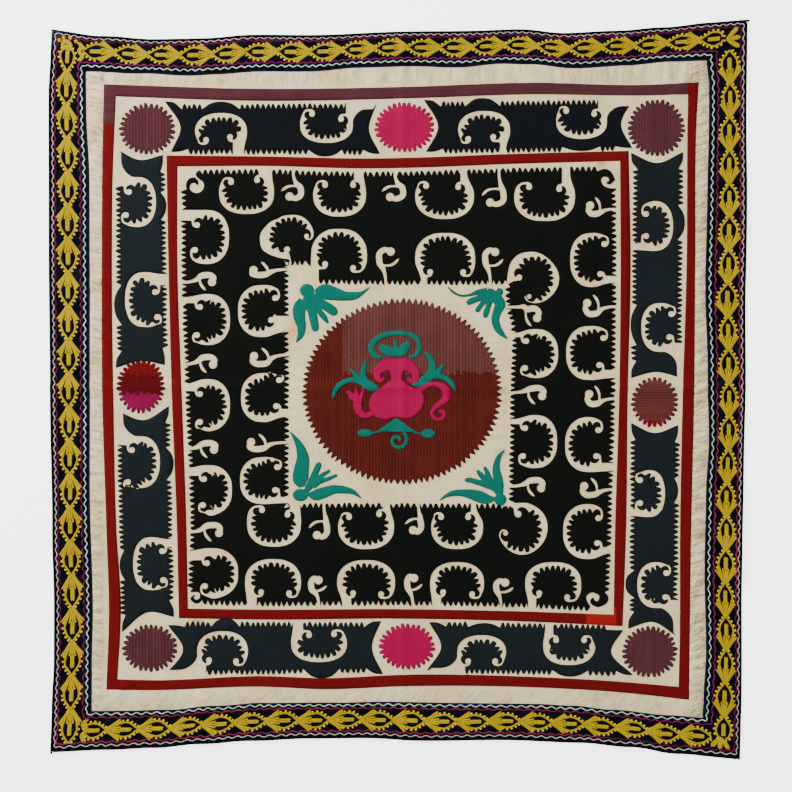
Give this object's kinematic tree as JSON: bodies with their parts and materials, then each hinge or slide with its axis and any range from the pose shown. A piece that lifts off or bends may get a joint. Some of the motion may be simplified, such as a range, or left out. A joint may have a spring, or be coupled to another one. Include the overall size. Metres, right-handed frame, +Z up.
{
  "type": "suzani embroidered textile",
  "caption": "Embroidered cotton cloth laid flat and face up: cream ground panel with a sewn-on black border and a bound edge.",
  "frame": {"origin": "on the surface it lies on, under the middle of the cloth's box", "axes": "+X to the cloth's right, +Y to its top edge, +Z up out of its face"},
  "size_m": [1.4018, 1.4803, 0.0071],
  "materials": {
    "ground_cotton": "plain cream cotton, matt",
    "border_cotton": "black cotton, matt",
    "binding_cotton": "folded black cotton, matt"
  },
  "bodies": {
    "root": {"ground_cloth": "ground_cotton", "border_strip_top": "border_cotton", "border_strip_bottom": "border_cotton", "border_strip_left": "border_cotton", "border_strip_right": "border_cotton", "binding_top": "binding_cotton", "binding_bottom": "binding_cotton", "binding_left": "binding_cotton", "binding_right": "binding_cotton"}
  },
  "joints": []
}
